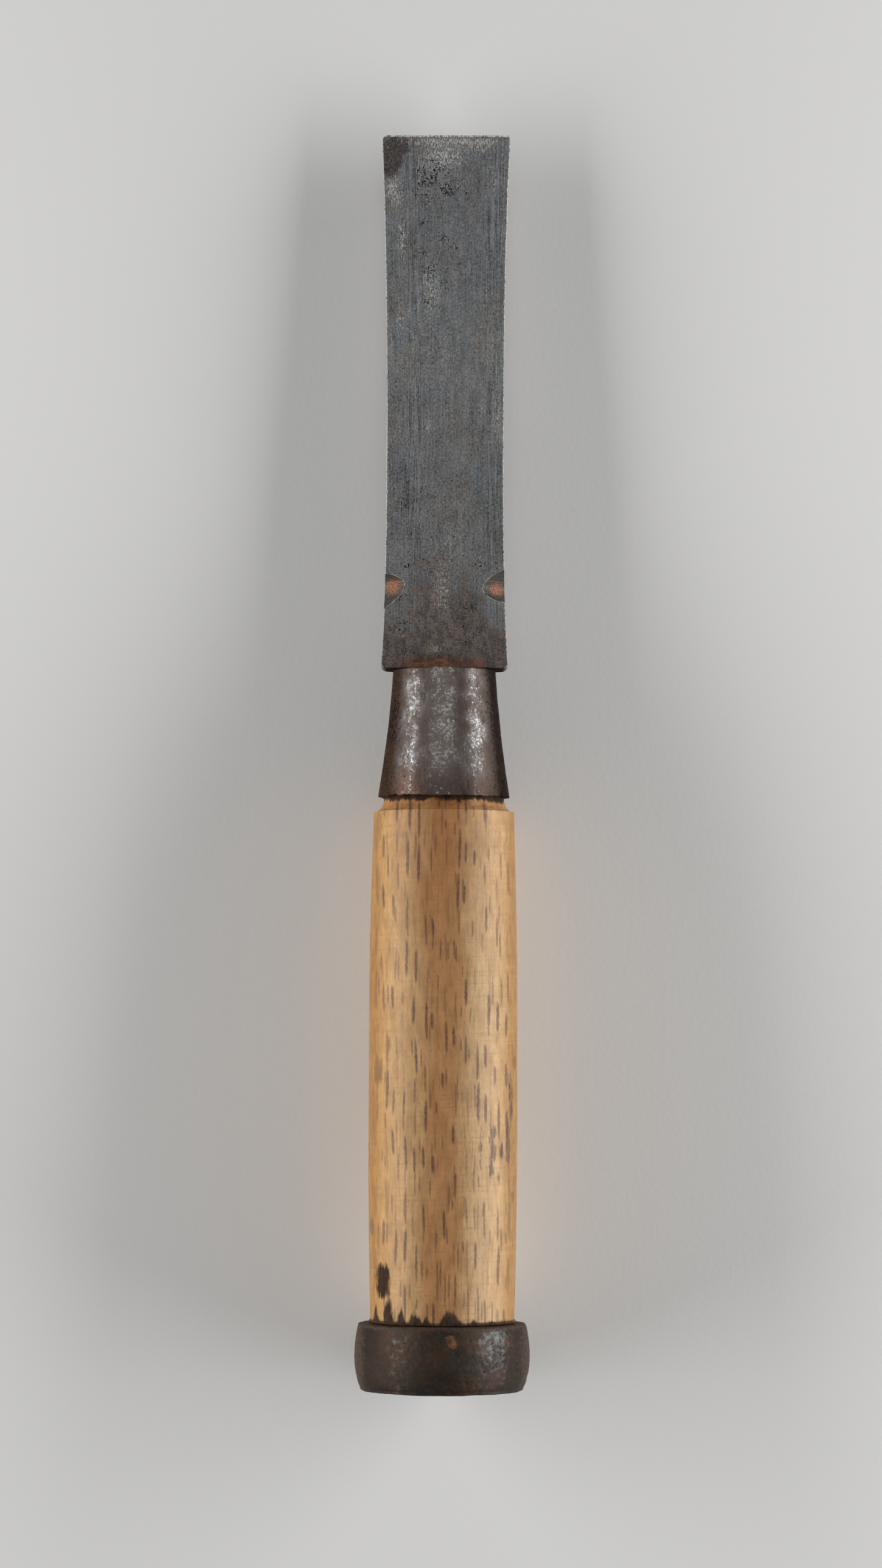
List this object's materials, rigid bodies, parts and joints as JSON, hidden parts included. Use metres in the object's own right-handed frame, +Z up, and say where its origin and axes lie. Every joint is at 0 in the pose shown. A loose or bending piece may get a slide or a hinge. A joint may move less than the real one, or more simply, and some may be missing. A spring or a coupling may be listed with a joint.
{
  "type": "mortise chisel",
  "caption": "Struck mortise chisel: flat-backed laminated blade with a tang, conical ferrule, turned oak handle and iron striking hoop, lying with its flat back up.",
  "frame": {"origin": "centre of the tool's footprint, on the surface that it lies on", "axes": "+Y along the tool towards the cutting edge, +X to the right of someone who looks down on the flat back with the edge pointing away, +Z up; the axis falls 3.23 degrees towards the edge, because the tool rests on the front shoulder of its handle and on the heel of its bevel"},
  "size_m": [0.0348, 0.2506, 0.0375],
  "materials": {
    "hard_steel": "dull grey-blue steel with fine lengthwise scratches, dark pits and thin brown rust near the shoulder",
    "soft_iron": "dark forged iron with brown oxide, and orange rust in the notches",
    "ferrule_iron": "dark brown patina worn to silvery patches, pitted at the sides",
    "hoop_iron": "brown-black hammer-worn oxide with a few bright patches and rust spots",
    "oak": "bare turned oak with dark medullary flecks, dark stain next to the hoop"
  },
  "bodies": {
    "root": {"cutting_steel": "hard_steel", "blade_body": "soft_iron", "ferrule": "ferrule_iron", "handle": "oak", "hoop": "hoop_iron"}
  },
  "joints": []
}
